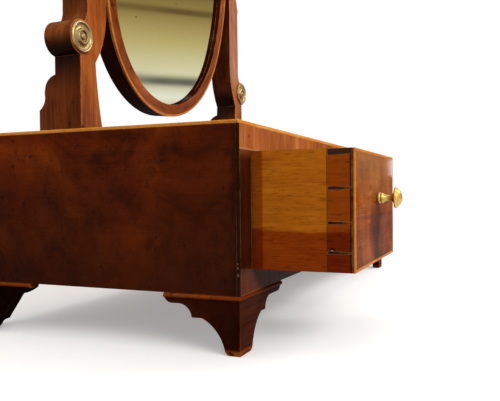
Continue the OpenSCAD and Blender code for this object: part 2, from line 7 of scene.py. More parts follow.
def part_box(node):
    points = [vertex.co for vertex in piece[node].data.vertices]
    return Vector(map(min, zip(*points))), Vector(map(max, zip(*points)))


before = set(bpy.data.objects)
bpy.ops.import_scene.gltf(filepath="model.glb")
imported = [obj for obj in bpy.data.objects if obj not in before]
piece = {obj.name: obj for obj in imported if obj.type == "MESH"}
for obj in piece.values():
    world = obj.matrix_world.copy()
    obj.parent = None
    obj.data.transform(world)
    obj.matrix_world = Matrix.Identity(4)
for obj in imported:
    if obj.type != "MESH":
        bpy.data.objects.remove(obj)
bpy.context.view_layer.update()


# Camera.
# The mirror stands on a table and is seen from the table's level, close to its left front corner.
# The lens is 43.7 mm on a 36 mm frame, level to within a degree, so the box top isn't seen.
def look_from(place, yaw, pitch, roll, lens):
    cam_data = bpy.data.cameras.new("camera")
    cam_data.lens = lens
    cam_data.sensor_width = 36
    cam_data.clip_start = 0.01
    cam = bpy.data.objects.new("camera", cam_data)
    ahead = Vector((math.cos(pitch) * math.cos(yaw), math.cos(pitch) * math.sin(yaw), math.sin(pitch)))
    level = Vector((math.sin(yaw), -math.cos(yaw), 0))
    upright = level.cross(ahead)
    right = math.cos(roll) * level + math.sin(roll) * upright
    up = -math.sin(roll) * level + math.cos(roll) * upright
    cam.matrix_world = Matrix.Translation(place) @ Matrix((right, up, -ahead)).transposed().to_4x4()
    bpy.context.scene.collection.objects.link(cam)
    return cam


bpy.context.scene.camera = look_from(
    Vector((-0.5584, -0.2106, 0.0995)), math.radians(22.66), math.radians(-0.95), math.radians(-0.55), 43.73
)
bpy.context.scene.view_settings.view_transform = "Standard"


# Daylight.
# Two windows in front of the table, some light from above and a weaker sky all round give a soft light.
# The camera, glass, brass and polish see a pure white backdrop in place of the sky.
def shader_node(tree, kind, **values):
    made = tree.nodes.new("ShaderNode" + kind)
    for name, value in values.items():
        setattr(made, name, value)
    return made


def link(tree, start, end):
    tree.links.new(start, end)


# A number or colour is set on the socket itself, and anything else is linked to it.
def feed(tree, value, socket):
    if isinstance(value, (int, float, tuple)):
        socket.default_value = value
    else:
        link(tree, value, socket)


def maths(tree, operation, *values):
    made = shader_node(tree, "Math", operation=operation)
    for value, socket in zip(values, made.inputs):
        feed(tree, value, socket)
    return made.outputs[0]


def srgb(red, green, blue):
    def straight(v):
        v = v / 255
        return v / 12.92 if v <= 0.04045 else ((v + 0.055) / 1.055) ** 2.4
    return (straight(red), straight(green), straight(blue), 1.0)


def lit(tree, kind, colour, strength):
    made = shader_node(tree, kind)
    feed(tree, colour, made.inputs["Color"])
    feed(tree, strength, made.inputs["Strength"])
    return made.outputs[0]


def mix_shaders(tree, share, first, second):
    made = shader_node(tree, "MixShader")
    for value, socket in zip((share, first, second), made.inputs):
        link(tree, value, socket)
    return made.outputs[0]


# 1 for the rays that see the white background: the camera's own, and those from polish, metal and glass.
def background_rays(tree):
    path = shader_node(tree, "LightPath")
    seen = path.outputs["Is Camera Ray"]
    seen_or_through = maths(tree, "MAXIMUM", seen, path.outputs["Is Transmission Ray"])
    return maths(tree, "MAXIMUM", seen_or_through, path.outputs["Is Glossy Ray"])


def window(name, place, aim_height, size, power, colour):
    lamp = bpy.data.lights.new(name, "AREA")
    lamp.shape = "RECTANGLE"
    lamp.size, lamp.size_y = size
    lamp.energy = power
    lamp.color = colour
    stand = bpy.data.objects.new(name, lamp)
    stand.location = place
    towards = Vector((0, 0, aim_height)) - Vector(place)
    stand.rotation_euler = towards.to_track_quat("-Z", "Y").to_euler()
    bpy.context.scene.collection.objects.link(stand)


pure_white = (1, 1, 1, 1)
room = bpy.data.worlds.new("room")
bpy.context.scene.world = room
room.use_nodes = True
sky = room.node_tree
sky.nodes.clear()
daylight = lit(sky, "Background", srgb(250, 246, 240), 0.62)
backdrop = lit(sky, "Background", pure_white, 1.0)
link(sky, mix_shaders(sky, background_rays(sky), daylight, backdrop),
     shader_node(sky, "OutputWorld").inputs["Surface"])

window("window_right", (1.3, -1.7, 1.7), 0.15, (1.1, 0.9), 24, (1.0, 0.98, 0.95))
window("window_left", (-1.3, -1.7, 1.3), 0.15, (1.4, 1.0), 30, (1.0, 0.98, 0.95))
window("top_light", (0.1, 0.3, 2.2), 0.1, (1.6, 1.6), 8, (1.0, 0.99, 0.97))


# Table.
# A plain white table top, wide enough that no edge shows. Near the mirror it takes the shadow, and farther
# out it fades into the white backdrop. The light that it throws up under the wood is a warm brown.
def blend_colours(tree, share, first, second, how="MIX"):
    # Set to colours, the node has its share at socket 0 and its two colours at 6 and 7.
    made = shader_node(tree, "Mix", data_type="RGBA", blend_type=how)
    for place, value in ((0, share), (6, first), (7, second)):
        feed(tree, value, made.inputs[place])
    return made.outputs[2]


def fade(tree, value, low, high, out_low=0.0, out_high=1.0):
    made = shader_node(tree, "MapRange", interpolation_type="SMOOTHSTEP")
    link(tree, value, made.inputs["Value"])
    made.inputs["From Min"].default_value = low
    made.inputs["From Max"].default_value = high
    made.inputs["To Min"].default_value = out_low
    made.inputs["To Max"].default_value = out_high
    return made.outputs["Result"]


# A new material, its node tree, its main shader and a point's place on the piece at rest.
def new_material(name):
    made = bpy.data.materials.new(name)
    made.use_nodes = True
    tree = made.node_tree
    return made, tree, tree.nodes["Principled BSDF"], shader_node(tree, "TexCoord").outputs["Object"]


def stage_sheet(name, corners, material):
    mesh = bpy.data.meshes.new(name)
    mesh.from_pydata(corners, [], [(0, 1, 2, 3)])
    mesh.materials.append(material)
    sheet = bpy.data.objects.new(name, mesh)
    bpy.context.scene.collection.objects.link(sheet)
    return sheet


table_half = 9
table_z = -0.0002
white_top, tree, shell, here = new_material("white_table")
shell.inputs["Base Color"].default_value = (0.86, 0.86, 0.86, 1)
shell.inputs["Roughness"].default_value = 0.9
shell.inputs["Specular IOR Level"].default_value = 0.1
away = shader_node(tree, "VectorMath", operation="LENGTH")
link(tree, here, away.inputs[0])
distance = away.outputs["Value"]
near = shader_node(tree, "AddShader")
link(tree, shell.outputs[0], near.inputs[0])
link(tree, lit(tree, "Emission", pure_white, 0.3), near.inputs[1])
white_sheet = mix_shaders(tree, fade(tree, distance, 0.35, 1.1), near.outputs[0],
                          lit(tree, "Emission", pure_white, 1.0))
under_tone = blend_colours(tree, fade(tree, distance, 0.6, 2.2), srgb(58, 34, 18), srgb(176, 128, 84))
table_look = mix_shaders(tree, background_rays(tree), lit(tree, "Emission", under_tone, 1.0), white_sheet)
link(tree, table_look, tree.nodes["Material Output"].inputs["Surface"])
corner_signs = ((-1, -1), (1, -1), (1, 1), (-1, 1))
table_corners = [(x * table_half, y * table_half, table_z) for x, y in corner_signs]
stage_sheet("table", table_corners, white_top)


# Facing wall.
# The wall that the mirror faces, 2 m away to the right: a pale dado under a shelf, then olive up to a dark
# picture rail, with two bright panes. It shows in glass, brass and polish only and casts no shadow.
def axes(tree, point):
    made = shader_node(tree, "SeparateXYZ")
    link(tree, point, made.inputs[0])
    return made.outputs


def times(tree, first, second):
    return maths(tree, "MULTIPLY", first, second)


def ramp(tree, value, *stops):
    made = shader_node(tree, "ValToRGB")
    link(tree, value, made.inputs[0])
    made.color_ramp.elements.remove(made.color_ramp.elements[1])
    made.color_ramp.elements[0].position, made.color_ramp.elements[0].color = stops[0]
    for place, colour in stops[1:]:
        made.color_ramp.elements.new(place).color = colour
    return made.outputs[0]


wall_away = 2
wall_way = (0.342, 0.94)
wall_left = -2.6
wall_right = 1.4
wall_top = 1.2


def wall_point(run, height):
    x = wall_away * wall_way[1] + run * wall_way[0]
    y = run * wall_way[1] - wall_away * wall_way[0]
    return (x, y, height)


wall_paint, tree, _, on_wall = new_material("facing_wall")
height = axes(tree, on_wall)["Z"]
measured = shader_node(tree, "VectorMath", operation="DOT_PRODUCT")
link(tree, on_wall, measured.inputs[0])
measured.inputs[1].default_value = (*wall_way, 0)
run = measured.outputs["Value"]
slope = times(tree, maths(tree, "ADD", run, 0.31), fade(tree, height, 0.45, 0.65, -0.09, -0.03))
dado_foot = srgb(200, 165, 125)
shelf = srgb(95, 95, 85)
olive_high = srgb(150, 130, 75)
rail = srgb(105, 85, 50)
paint = ramp(
    tree, maths(tree, "ADD", height, slope),
    (0.0, srgb(230, 215, 190)), (0.09, dado_foot), (0.24, dado_foot), (0.33, srgb(240, 240, 225)),
    (0.37, srgb(215, 210, 180)), (0.388, shelf), (0.404, shelf), (0.43, srgb(225, 220, 185)),
    (0.56, srgb(195, 180, 120)), (0.683, olive_high), (0.693, rail), (0.708, rail),
    (0.722, olive_high), (0.79, srgb(115, 95, 55)),
)


def pane(left, right, low, high, soft):
    across = times(tree, fade(tree, run, left, left + soft), fade(tree, run, right, right - soft))
    upward = times(tree, fade(tree, height, low, low + soft), fade(tree, height, high, high - soft))
    return times(tree, across, upward)


tall_pane = pane(-0.08, 0.06, 0.5, 1.0, 0.1)
small_pane = times(tree, pane(0.208, 0.28, 0.142, 0.232, 0.024), 2.2)
panes = maths(tree, "MAXIMUM", tall_pane, small_pane)
shine = lit(tree, "Emission", blend_colours(tree, panes, paint, srgb(236, 240, 255)),
            maths(tree, "MULTIPLY_ADD", panes, 8.0, 1.16))
link(tree, shine, tree.nodes["Material Output"].inputs["Surface"])
foot_line = [wall_point(wall_left, 0), wall_point(wall_right, 0)]
top_line = [wall_point(wall_right, wall_top), wall_point(wall_left, wall_top)]
wall = stage_sheet("facing_wall", foot_line + top_line, wall_paint)
wall.visible_camera = False
wall.visible_diffuse = False
wall.visible_shadow = False


# Sides of the box.
# Two pine boards faced with mottled mahogany and French polished, dark with age and darkest near the feet.
# They are glued into the rails and the back; the edges are eased by years of handling.
def noise(tree, point, stretch, detail=3.0, rough=0.55, warp=0.0):
    spread = shader_node(tree, "VectorMath", operation="MULTIPLY")
    link(tree, point, spread.inputs[0])
    spread.inputs[1].default_value = stretch
    made = shader_node(tree, "TexNoise")
    link(tree, spread.outputs[0], made.inputs["Vector"])
    made.inputs["Scale"].default_value = 1.0
    made.inputs["Detail"].default_value = detail
    made.inputs["Roughness"].default_value = rough
    made.inputs["Distortion"].default_value = warp
    return made.outputs["Fac"]


# Noise about zero, times an amount, on top of a base: a tone that varies, or an edge that isn't straight.
def wander(tree, made_noise, amount, base=0.0):
    return maths(tree, "MULTIPLY_ADD", maths(tree, "SUBTRACT", made_noise, 0.5), amount, base)


def new_group(name, ins, outs):
    group = bpy.data.node_groups.new(name, "ShaderNodeTree")
    for label, kind, value in ins:
        socket = group.interface.new_socket(label, in_out="INPUT", socket_type="NodeSocket" + kind)
        if value is not None:
            socket.default_value = value
    for label, kind in outs:
        group.interface.new_socket(label, in_out="OUTPUT", socket_type="NodeSocket" + kind)
    start = group.nodes.new("NodeGroupInput").outputs
    end = group.nodes.new("NodeGroupOutput").inputs
    return group, start, end


# Grain: the point's X runs along the fibres. Broad mottle, growth bands, fine fibre and short dark pores.
grain, start, end = new_group(
    "wood_grain",
    [("Point", "Vector", None), ("Dark", "Color", (0.03, 0.01, 0.004, 1)),
     ("Mid", "Color", (0.1, 0.03, 0.01, 1)), ("Light", "Color", (0.2, 0.07, 0.02, 1)),
     ("Mottle", "Float", 0.5), ("Bands", "Float", 0.5), ("Fibre", "Float", 0.4), ("Pores", "Float", 0.5)],
    [("Colour", "Color"), ("Roughness", "Float"), ("Height", "Float")],
)
blotch = noise(grain, start["Point"], (13, 17, 17), 4, 0.6, 0.8)
bands = noise(grain, start["Point"], (5, 150, 150), 3, 0.6, 0.35)
fibre = noise(grain, start["Point"], (45, 1100, 1100), 3, 0.6)
pore = fade(grain, noise(grain, start["Point"], (130, 3000, 3000), 1, 0.4), 0.6, 0.72)
tone = wander(grain, blotch, start["Mottle"], 0.5)
tone = wander(grain, bands, start["Bands"], tone)
tone = wander(grain, fibre, start["Fibre"], tone)
colour = blend_colours(grain, fade(grain, tone, 0.22, 0.52), start["Dark"], start["Mid"])
colour = blend_colours(grain, fade(grain, tone, 0.48, 0.8), colour, start["Light"])
pore_depth = times(grain, pore, start["Pores"])
colour = blend_colours(grain, times(grain, pore_depth, 0.7), colour, start["Dark"])
link(grain, colour, end["Colour"])
link(grain, maths(grain, "MULTIPLY_ADD", tone, 0.16, times(grain, pore_depth, 0.25)), end["Roughness"])
link(grain, maths(grain, "SUBTRACT", times(grain, fibre, 0.25), pore_depth), end["Height"])

# Age: pale rubbed edges, dirt in the corners, and a slow patchiness of the polish.
age, start, end = new_group(
    "age",
    [("Point", "Vector", None), ("Patch", "Float", 18.0)],
    [("Rubbed", "Float"), ("Dirt", "Float"), ("Patchy", "Float")],
)
rounded = shader_node(age, "Bevel", samples=4)
rounded.inputs["Radius"].default_value = 0.0012
flat = shader_node(age, "NewGeometry")
facing_same = shader_node(age, "VectorMath", operation="DOT_PRODUCT")
link(age, rounded.outputs["Normal"], facing_same.inputs[0])
link(age, flat.outputs["Normal"], facing_same.inputs[1])
edge = times(age, maths(age, "SUBTRACT", 1.0, facing_same.outputs["Value"]), 1.2)
broken = noise(age, start["Point"], (60, 60, 60), 4, 0.7)
link(age, times(age, fade(age, edge, 0.02, 0.3), fade(age, broken, 0.35, 0.62)), end["Rubbed"])
nook = shader_node(age, "AmbientOcclusion", samples=4)
nook.inputs["Distance"].default_value = 0.007
link(age, times(age, fade(age, nook.outputs["AO"], 0.85, 0.25), fade(age, broken, 0.2, 0.6)), end["Dirt"])
scaled = shader_node(age, "VectorMath", operation="SCALE")
link(age, start["Point"], scaled.inputs[0])
link(age, start["Patch"], scaled.inputs["Scale"])
link(age, noise(age, scaled.outputs[0], (1, 1, 1), 5, 0.65, 0.3), end["Patchy"])


def place_group(tree, group, point, **values):
    made = shader_node(tree, "Group", node_tree=group)
    link(tree, point, made.inputs["Point"])
    for name, value in values.items():
        made.inputs[name].default_value = value
    return made.outputs


# The point with its parts in another order, so that its X runs along the grain of the board.
def along(tree, here, axis):
    if axis == "X":
        return here
    parts = axes(tree, here)
    turned = shader_node(tree, "CombineXYZ")
    order = {"Y": ("Y", "X", "Z"), "Z": ("Z", "X", "Y")}[axis]
    for source, target in zip(order, ("X", "Y", "Z")):
        link(tree, parts[source], turned.inputs[target])
    return turned.outputs[0]


def bump(tree, height, strength, distance, target):
    made = shader_node(tree, "Bump")
    made.inputs["Strength"].default_value = strength
    made.inputs["Distance"].default_value = distance
    link(tree, height, made.inputs["Height"])
    link(tree, made.outputs[0], target)


# How far a surface faces along one of the piece's own axes: 1 along it, 0 across it.
def facing(tree, axis, low, high):
    turned = shader_node(tree, "VectorTransform", vector_type="NORMAL")
    turned.convert_from = "WORLD"
    turned.convert_to = "OBJECT"
    link(tree, shader_node(tree, "NewGeometry").outputs["True Normal"], turned.inputs[0])
    return fade(tree, maths(tree, "ABSOLUTE", axes(tree, turned.outputs[0])[axis]), low, high)


# 1 on the polished faces, 0 on the sawn edges.
def facing_front(tree):
    return facing(tree, "Y", 0.35, 0.8)


def tinted(tree, colour, tint):
    return blend_colours(tree, 1.0, colour, (*tint, 1), "MULTIPLY")


# Polished wood. Shaded_sides tints the sawn edges darker, as painted shade, and dulls their polish; stain
# adds what one piece alone has, own_point bends the grain.
def wood(name, axis, dark, mid, light, gloss=0.35, coat=0.4, coat_gloss=0.1, sheen=0.0, mottle=0.5,
         bands=0.5, fibre=0.35, pores=0.5, dirt_and_shade=0.6, wear=0.55, rubbed=None, specks=0.55, shaded_sides=None,
         stain=None, own_point=None):
    made, tree, shell, here = new_material(name)
    turned = own_point(tree, here) if own_point else along(tree, here, axis)
    figure = place_group(tree, grain, turned, Dark=srgb(*dark), Mid=srgb(*mid), Light=srgb(*light),
                         Mottle=mottle, Bands=bands, Fibre=fibre, Pores=pores)
    years = place_group(tree, age, here)
    colour = figure["Colour"]
    years_coat = fade(tree, years["Patchy"], 0.2, 0.75, coat, coat * 0.55)
    # Painted shade: faces that don't face front or back are tinted darker.
    if shaded_sides:
        front = facing_front(tree)
        colour = blend_colours(tree, front, tinted(tree, colour, shaded_sides), colour)
        years_coat = times(tree, years_coat, maths(tree, "MULTIPLY_ADD", front, 0.85, 0.15))
    if stain:
        colour = stain(tree, here, colour)
    dots = fade(tree, noise(tree, here, (150, 190, 190), 2, 0.5), 0.67, 0.74, 0.0, specks)
    colour = blend_colours(tree, dots, colour, srgb(20, 9, 4))
    colour = blend_colours(tree, times(tree, years["Dirt"], dirt_and_shade), colour, srgb(18, 9, 5))
    bare = rubbed or tuple(min(255, v * 1.25 + 18) for v in light)
    colour = blend_colours(tree, times(tree, years["Rubbed"], wear), colour, srgb(*bare))
    link(tree, colour, shell.inputs["Base Color"])
    rough = maths(tree, "ADD", figure["Roughness"], gloss - 0.1)
    link(tree, maths(tree, "MULTIPLY_ADD", years["Patchy"], 0.16, rough), shell.inputs["Roughness"])
    link(tree, years_coat, shell.inputs["Coat Weight"])
    shell.inputs["Coat Roughness"].default_value = coat_gloss
    shell.inputs["Coat Tint"].default_value = (1.0, 0.86, 0.58, 1)
    shell.inputs["Specular IOR Level"].default_value = sheen
    shell.inputs["Specular Tint"].default_value = (1.0, 0.8, 0.55, 1)
    bump(tree, figure["Height"], 0.25, 0.0003, shell.inputs["Normal"])
    return made


def dress(material, *names):
    for name in names:
        mesh = piece[name].data
        mesh.materials.clear()
        mesh.materials.append(material)


def ease(width, *names, segments=2):
    for name in names:
        welded = piece[name].modifiers.new("weld", "WELD")
        welded.merge_threshold = 0.00001
        rounded = piece[name].modifiers.new("eased_edges", "BEVEL")
        rounded.width = width
        rounded.segments = segments
        rounded.limit_method = "ANGLE"
        rounded.angle_limit = math.radians(35)
        rounded.harden_normals = False
        evened = piece[name].modifiers.new("even_shading", "WEIGHTED_NORMAL")
        evened.keep_sharp = False
        piece[name].data.shade_smooth()


front_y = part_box("corner_lines")[0].y
foot_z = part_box("side_board_left")[0].z
side_dark = (47, 16, 4)


# Old polish: reddish and dark clouds and a fine net of cracks. The board is also darker towards the feet
# and in a ragged band along the front corner.
def polish_and_darkening(tree, here, colour):
    parts = axes(tree, here)
    low = times(tree, fade(tree, parts["Z"], 0.14, foot_z), 0.78)
    colour = blend_colours(tree, low, colour, srgb(*side_dark))
    redness = fade(tree, noise(tree, here, (22, 22, 26), 4, 0.6), 0.4, 0.68)
    colour = blend_colours(tree, redness, colour, tinted(tree, colour, (1.12, 0.92, 0.85)))
    cloud = noise(tree, here, (60, 70, 60), 5, 0.72, 0.3)
    dim = tinted(tree, colour, (0.6, 0.6, 0.6))
    colour = blend_colours(tree, fade(tree, cloud, 0.4, 0.75), colour, dim)
    cracks = shader_node(tree, "TexVoronoi", feature="DISTANCE_TO_EDGE")
    link(tree, here, cracks.inputs["Vector"])
    cracks.inputs["Scale"].default_value = 230.0
    net = times(tree, fade(tree, cracks.outputs["Distance"], 0.09, 0.02), fade(tree, cloud, 0.44, 0.64))
    colour = blend_colours(tree, times(tree, net, 0.28), colour, srgb(26, 10, 4))
    # Darker in a ragged band along the front corner.
    ragged = times(tree, noise(tree, here, (30, 90, 70), 4, 0.65), 0.012)
    uneven = maths(tree, "ADD", parts["Y"], ragged)
    corner_darkening = fade(tree, uneven, front_y + 0.0145, front_y + 0.005, 0.0, 0.8)
    return blend_colours(tree, corner_darkening, colour, srgb(26, 11, 4))


side_wood = wood("side_mahogany", "Y", side_dark, (101, 39, 7), (146, 65, 12), gloss=0.3, coat=0.06,
                 mottle=1.1, bands=0.12, fibre=0.15, stain=polish_and_darkening)
dress(side_wood, "side_board_left", "side_board_right")
ease(0.0003, "side_board_left", "side_board_right")


# Back and unseen boards.
# The back, the top board under its veneer, the bottom board, stops and blocks are plain pine, planed, glued
# in place and never polished: brown with age, with a straight wide grain. So is the mirror's backboard.
pine = wood("aged_pine", "X", (122, 80, 42), (182, 132, 76), (210, 166, 108), gloss=0.6, coat=0.0,
            sheen=0.15, bands=0.6, fibre=0.3, pores=0.1, dirt_and_shade=0.8)
dress(pine, "back_board", "top_board", "bottom_board", "drawer_stops", "glue_blocks")
dress(pine, "backboard", "glazing_blocks")
ease(0.0004, "back_board", "bottom_board", "glue_blocks")


# Rails, dividers and guides.
# Mahogany-faced rails and dividers between the drawers, worn smooth where the drawers run.
# The dividers stand in slots in both rails; the guides are glued to the sides.
rail_wood = wood("rail_mahogany", "X", (70, 30, 12), (120, 58, 26), (160, 88, 44), gloss=0.4, coat=0.05,
                 bands=0.6)
dress(rail_wood, "top_rail", "bottom_rail", "drawer_dividers", "drawer_guides")


# Face veneer and top veneer.
# One sheet of straight mahogany laid over the rails and dividers, cut out for the drawers, and one over the
# top. Both are French polished to a deep gloss; the front has kept its orange tone, the top has darkened.
rail_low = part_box("top_rail")[0].z


# Below the top rail the veneer is painted darker as shade, darkest on the stiles beside the drawers, with a
# thin worn line at the rail's edge.
def shaded_below_rail(tree, here, colour):
    height = axes(tree, here)["Z"]
    # Painted shade: the veneer under the rail is darkened, and darkened again beside the drawers.
    dark = tinted(tree, colour, (0.4, 0.3, 0.34))
    deepest_shade = tinted(tree, dark, (0.3, 0.28, 0.3))
    colour = blend_colours(tree, fade(tree, height, rail_low + 0.0012, rail_low + 0.0002), colour, dark)
    worn = times(tree, fade(tree, height, rail_low - 0.0001, rail_low + 0.0003),
                 fade(tree, height, rail_low + 0.0012, rail_low + 0.0008))
    colour = blend_colours(tree, times(tree, worn, 0.55), colour, srgb(206, 160, 118))
    shade_beside_drawers = times(tree, fade(tree, height, rail_low - 0.0004, rail_low - 0.0064),
                   fade(tree, height, foot_z + 0.01, foot_z + 0.02))
    return blend_colours(tree, shade_beside_drawers, colour, deepest_shade)


face_wood = wood("face_mahogany", "Z", (104, 46, 15), (168, 90, 38), (214, 134, 70), gloss=0.28, coat=0.12,
                 mottle=1.0, bands=0.4, fibre=0.3, stain=shaded_below_rail)
top_wood = wood("top_mahogany", "X", (62, 24, 10), (112, 48, 20), (150, 78, 36), gloss=0.28, coat=0.35,
                mottle=0.8)
dress(face_wood, "front_veneer")
dress(top_wood, "top_veneer")


# Inlaid lines.
# Boxwood lines along the top edges, round each drawer front and round the frame, and a dark line down each
# front corner. They are let into rebates and scraped flush, honey-coloured under the polish.
def spot(tree, here, place, core, edge):
    apart = shader_node(tree, "VectorMath", operation="DISTANCE")
    link(tree, here, apart.inputs[0])
    apart.inputs[1].default_value = place
    return fade(tree, apart.outputs["Value"], edge, core)


# Three small chips, one above another, low on the left corner line: heights and sizes.
chip_x = -0.2281
chip_y = -0.0642
chips = ((0.0556, 0.0008), (0.0532, 0.0011), (0.0488, 0.0013))


def chipped(tree, here, colour):
    for height, size in chips:
        chip = spot(tree, here, (chip_x, chip_y, height), size * 0.6, size)
        colour = blend_colours(tree, times(tree, chip, 0.5), colour, srgb(134, 116, 78))
    return colour


box_line = wood("boxwood_line", "X", (168, 94, 30), (226, 146, 56), (246, 184, 98), gloss=0.32,
                coat=0.15, mottle=0.7, bands=0.4, fibre=0.25, pores=0.15, dirt_and_shade=0.5)
dark_line = wood("dark_line", "Z", (16, 8, 4), (34, 16, 8), (56, 28, 14), coat=0.05, stain=chipped)
ring_line = wood("frame_boxwood_line", "X", (150, 80, 26), (206, 124, 50), (232, 160, 84), gloss=0.32,
                 coat=0.2, mottle=0.9, bands=0.4, fibre=0.25, pores=0.15)
dress(box_line, "top_edge_line")
dress(ring_line, "frame_line")
dress(dark_line, "corner_lines")
ease(0.0003, "top_edge_line", "drawer_line_left", "drawer_line_middle", "drawer_line_right")


# Feet.
# Solid mahogany brackets sawn to a stepped hollow outline, glued and blocked under the corners, with a small
# half-round bead above them. Nearly black from polish and knocks, rubbed orange along the lower edges; the
# back pair is painted darker still, as shade under the box.
def worn_toe(tree, here, colour):
    # The last 4 mm above the table are worn through the polish.
    low = fade(tree, axes(tree, here)["Z"], 0.0042, 0.0012)
    patchy = fade(tree, noise(tree, here, (140, 140, 300), 3, 0.6), 0.3, 0.55)
    return blend_colours(tree, times(tree, low, patchy), colour, srgb(176, 86, 34))


foot_wood = wood("foot_mahogany", "X", (40, 14, 5), (90, 36, 12), (124, 54, 20), gloss=0.38, coat=0.06,
                 rubbed=(184, 94, 38), mottle=0.9, bands=0.4, shaded_sides=(0.32, 0.34, 0.5), stain=worn_toe)
# The back feet are a darker copy of the front feet's mahogany: painted shade.
back_foot_shaded_wood = wood("back_foot_mahogany_shaded", "X", (14, 7, 4), (34, 15, 7), (56, 26, 12), gloss=0.45,
                      coat=0.02, mottle=0.9, bands=0.4, shaded_sides=(0.5, 0.5, 0.5))
bead_wood = wood("bead_mahogany", "X", (70, 26, 7), (126, 54, 14), (168, 82, 26), coat=0.1)
front_feet = ("foot_front_left", "foot_front_right")
back_feet = ("foot_back_left", "foot_back_right")
dress(foot_wood, *front_feet)
dress(back_foot_shaded_wood, *back_feet)
dress(bead_wood, "foot_beads")
ease(0.0009, *front_feet, *back_feet, segments=3)


# Uprights.
# Each is sawn from one piece of mahogany: stepped base, scrolled shoulder with a turned roundel, plain shaft
# that curls in above the pivot. The faces are polished; the sawn sides are duller and painted darker as
# shade.
roundel_low, roundel_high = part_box("roundel_plate_left")
roundel_z = (roundel_low.z + roundel_high.z) / 2
nick_place = (-0.1595, 0.1005, 0.152)


# The sawn sides are painted black as shade under the roundel, less so up the shaft. The left one has a small
# nick.
def shade_under_roundel(tree, here, colour):
    nick = spot(tree, here, nick_place, 0.0009, 0.0017)
    colour = blend_colours(tree, nick, colour, srgb(22, 10, 5))
    # Painted shade on the sides: darkest just under the roundel, lighter up the shaft.
    above = maths(tree, "SUBTRACT", axes(tree, here)["Z"], roundel_z)
    shade_at_neck = times(tree, fade(tree, above, 0.0029, -0.0096), fade(tree, above, -0.0476, -0.0176))
    dirt_and_shade = maths(tree, "ADD", times(tree, shade_at_neck, 0.88), fade(tree, above, 0.0214, 0.0384, 0.0, 0.38))
    edges = maths(tree, "SUBTRACT", 1.0, facing_front(tree))
    return blend_colours(tree, times(tree, dirt_and_shade, edges), colour, srgb(24, 11, 6))


# Painted shade: both uprights' sides are tinted darker, the right one's most, as its inner side is in shade.
# The rubbed arrises are paler than elsewhere: real wear and a painted highlight.
for side, side_shade_tone in (("left", (0.47, 0.42, 0.42)), ("right", (0.24, 0.2, 0.26))):
    upright_wood = wood("upright_mahogany_" + side, "Z", (90, 36, 14), (168, 90, 40), (216, 136, 74),
                        gloss=0.27, coat=0.45, mottle=0.8, bands=0.6, shaded_sides=side_shade_tone, stain=shade_under_roundel,
                        wear=0.7)
    dress(upright_wood, "upright_" + side)
ease(0.0016, "upright_left", "upright_right", segments=3)


# Brass.
# Turned brass: the roundel plates, the thumb screws with their collars and plates, the drawer knobs and nuts.
# Lacquer long gone, bright on the high places and brown in the hollows.
def brass_finish(name, bright, dull):
    made, tree, shell, here = new_material(name)
    years = place_group(tree, age, here, Patch=90.0)
    dulled = fade(tree, years["Patchy"], 0.42, 0.7, 0.0, 0.45)
    colour = blend_colours(tree, dulled, srgb(*bright), srgb(*dull))
    colour = blend_colours(tree, times(tree, years["Dirt"], 0.85), colour, srgb(84, 56, 26))
    colour = blend_colours(tree, times(tree, years["Rubbed"], 0.5), colour, srgb(246, 222, 160))
    link(tree, colour, shell.inputs["Base Color"])
    shell.inputs["Metallic"].default_value = 0.85
    link(tree, fade(tree, years["Patchy"], 0.3, 0.7, 0.3, 0.46), shell.inputs["Roughness"])
    bump(tree, noise(tree, here, (900, 900, 900), 2, 0.5), 0.08, 0.0002, shell.inputs["Normal"])
    return made


knob_brass = brass_finish("knob_brass", (208, 168, 88), (158, 118, 54))
plate_brass = brass_finish("plate_brass", (170, 144, 98), (112, 90, 58))
dress(plate_brass, "roundel_plate_left", "roundel_plate_right")
dress(knob_brass, "pivot_collars", "pivot_screw_left", "pivot_screw_right", "pivot_plates")


# Steel.
# Hand-cut screws under the top board and fine pins behind the backboard, brown with old rust.
# The screws hold the uprights from below; the pins are driven into the frame.
steel, tree, shell, here = new_material("old_steel")
years = place_group(tree, age, here, Patch=300.0)
rust = fade(tree, years["Patchy"], 0.4, 0.6)
link(tree, blend_colours(tree, rust, srgb(128, 122, 114), srgb(96, 62, 42)), shell.inputs["Base Color"])
link(tree, fade(tree, years["Patchy"], 0.4, 0.6, 0.9, 0.3), shell.inputs["Metallic"])
link(tree, fade(tree, years["Patchy"], 0.3, 0.7, 0.4, 0.7), shell.inputs["Roughness"])
bump(tree, noise(tree, here, (1400, 1400, 1400), 3, 0.6), 0.3, 0.0002, shell.inputs["Normal"])
dress(steel, "upright_screws", "backboard_pins")


# Mirror frame.
# An oval ring of mahogany, veneered on the face with the grain following the curve, its outer edge painted
# nearly black as shade. The lip is rounded over towards the glass.
collar_low, collar_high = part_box("pivot_collars")
pivot_z = (collar_low.z + collar_high.z) / 2
ring_radius = 0.13


def round_the_oval(tree, here):
    parts = axes(tree, here)
    up = maths(tree, "SUBTRACT", parts["Z"], pivot_z)
    turn = maths(tree, "ARCTAN2", up, parts["X"])
    out_squared = maths(tree, "ADD", times(tree, up, up), times(tree, parts["X"], parts["X"]))
    out = maths(tree, "SQRT", out_squared)
    bent = shader_node(tree, "CombineXYZ")
    link(tree, times(tree, turn, ring_radius), bent.inputs[0])
    link(tree, out, bent.inputs[1])
    link(tree, parts["Y"], bent.inputs[2])
    return bent.outputs[0]


frame_wood = wood("frame_mahogany", "X", (74, 28, 10), (142, 70, 30), (194, 114, 58), gloss=0.28, coat=0.25,
                  mottle=1.0, bands=0.6, shaded_sides=(0.1, 0.06, 0.05), own_point=round_the_oval)
dress(frame_wood, "mirror_frame")


